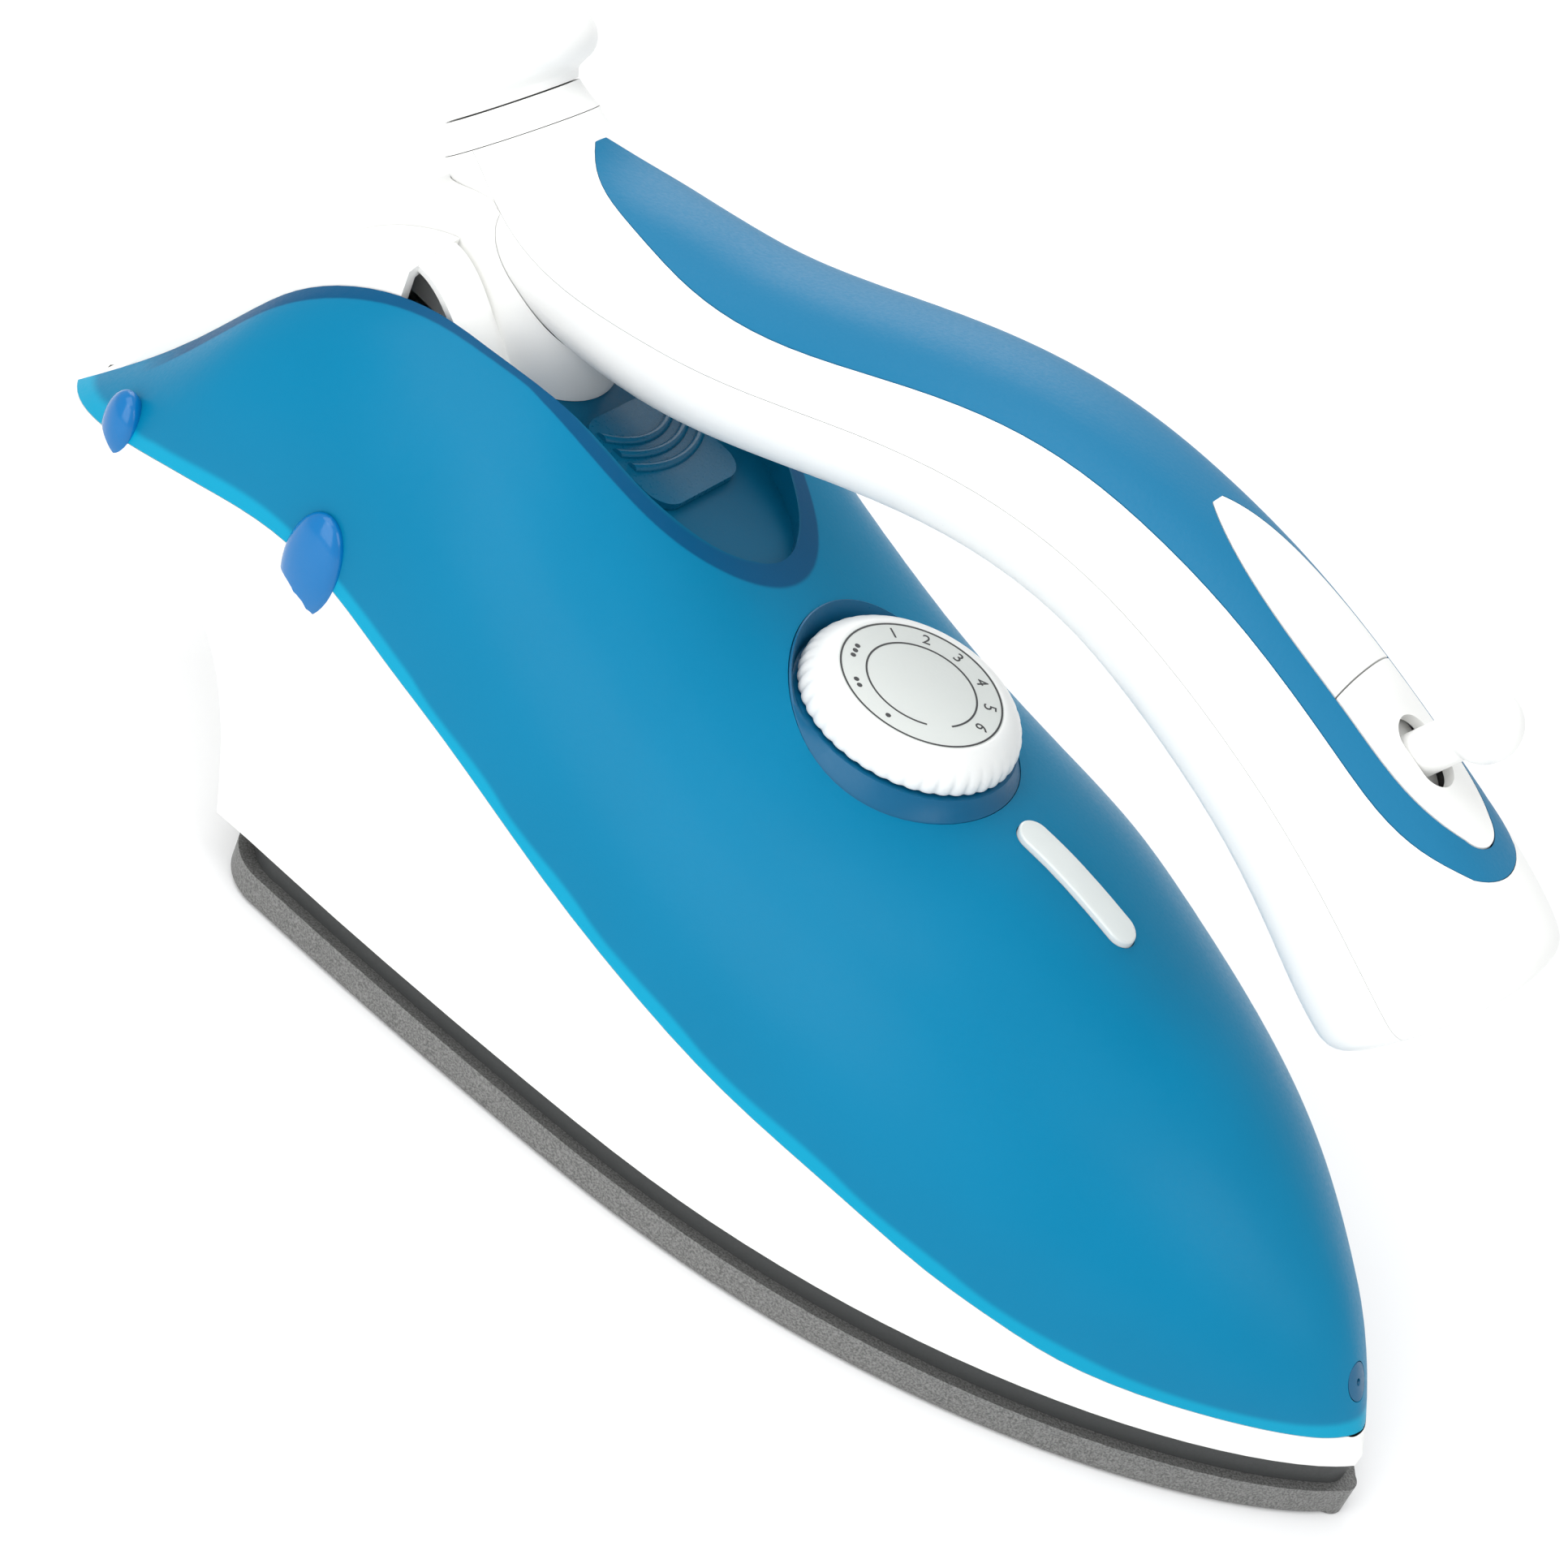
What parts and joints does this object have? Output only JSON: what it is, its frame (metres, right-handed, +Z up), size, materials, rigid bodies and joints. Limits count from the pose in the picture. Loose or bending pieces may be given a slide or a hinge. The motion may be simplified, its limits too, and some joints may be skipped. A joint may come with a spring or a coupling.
{
  "type": "clothes iron",
  "caption": "Steam iron with a see-through tank, a handle held at its rear end, a temperature dial, a spray button, a steam lever and a flared heel.",
  "frame": {"origin": "on the sole face, on the centre line, midway between heel and nose of the soleplate", "axes": "+X towards the nose, +Y to the left, +Z up"},
  "size_m": [0.31, 0.1142, 0.1597],
  "materials": {
    "sole_metal": "speckled coating",
    "shield_black": "matte, heat proof",
    "housing_white": "satin white",
    "tank_blue": "frosted, see-through",
    "clip_blue": "polished",
    "grip_blue": "soft touch",
    "dial_grey": "fine matte",
    "inner_plastic": "moulded",
    "steel": "plain",
    "brass": "turned",
    "seal_rubber": "plain"
  },
  "bodies": {
    "iron_body": {"soleplate": "sole_metal", "heating_element": "steel", "chamber_seal": "seal_rubber", "steam_chamber_cover": "steel", "heat_shield": "shield_black", "lower_housing": "housing_white", "sole_screws": "steel", "handle_screws": "steel", "water_tank": "tank_blue", "tank_base": "inner_plastic", "handle_upper_shell": "housing_white", "handle_pillar": "housing_white", "handle_lower_shell": "housing_white", "rear_cover": "housing_white", "soft_grip": "grip_blue", "spray_pump": "inner_plastic", "button_spring": "steel", "control_panel": "housing_white", "steam_valve_body": "brass", "dial_seat": "clip_blue", "thermostat": "steel", "pilot_light_lens": "dial_grey", "pilot_lamp": "inner_plastic", "spray_nozzle": "housing_white", "nozzle_bracket": "inner_plastic", "suction_hose": "seal_rubber", "delivery_hose": "seal_rubber", "handle_collar": "housing_white", "tank_clips": "clip_blue", "terminal_block": "inner_plastic", "thermal_fuse": "steel"},
    "dial": {"temperature_dial": "housing_white", "dial_plate": "dial_grey", "thermostat_shaft": "brass"},
    "spray_button": {"spray_button": "housing_white"},
    "steam_lever": {"steam_lever_knob": "housing_white", "steam_lever_stem": "housing_white"},
    "valve_pin": {"steam_valve_pin": "brass"},
    "filler_hatch": {"filler_hatch": "clip_blue"},
    "cord_bush": {"cord_bush": "housing_white"}
  },
  "joints": [
    {"name": "dial_turn", "type": "hinge", "parent": "iron_body", "child": "dial", "pos_m": [-0.0225, 0, 0.0835], "axis": [0.0558, 0, 0.9984], "range_deg": [0, 270]},
    {"name": "spray_press", "type": "slide", "parent": "iron_body", "child": "spray_button", "axis": [0, 0, -1], "range_m": [0, 0.003], "stiffness_N_per_m": 600, "springref_m": -0.0005},
    {"name": "steam_slide", "type": "slide", "parent": "iron_body", "child": "steam_lever", "axis": [0.8684, 0, -0.4958], "range_m": [-0.0025, 0.0025]},
    {"name": "valve_lift", "type": "slide", "parent": "iron_body", "child": "valve_pin", "axis": [0, 0, 1], "range_m": [-0.00063, 0.00063]},
    {"name": "hatch_slide", "type": "slide", "parent": "iron_body", "child": "filler_hatch", "axis": [0.9874, 0, -0.158], "range_m": [0, 0.013]},
    {"name": "cord_swivel", "type": "hinge", "parent": "iron_body", "child": "cord_bush", "pos_m": [-0.1325, 0, 0.136], "axis": [-0.7104, 0, 0.7038], "range_deg": [-170, 170]}
  ],
  "couplings": [
    {"joint": "valve_lift", "follows": "steam_slide", "ratio": 0.25}
  ]
}
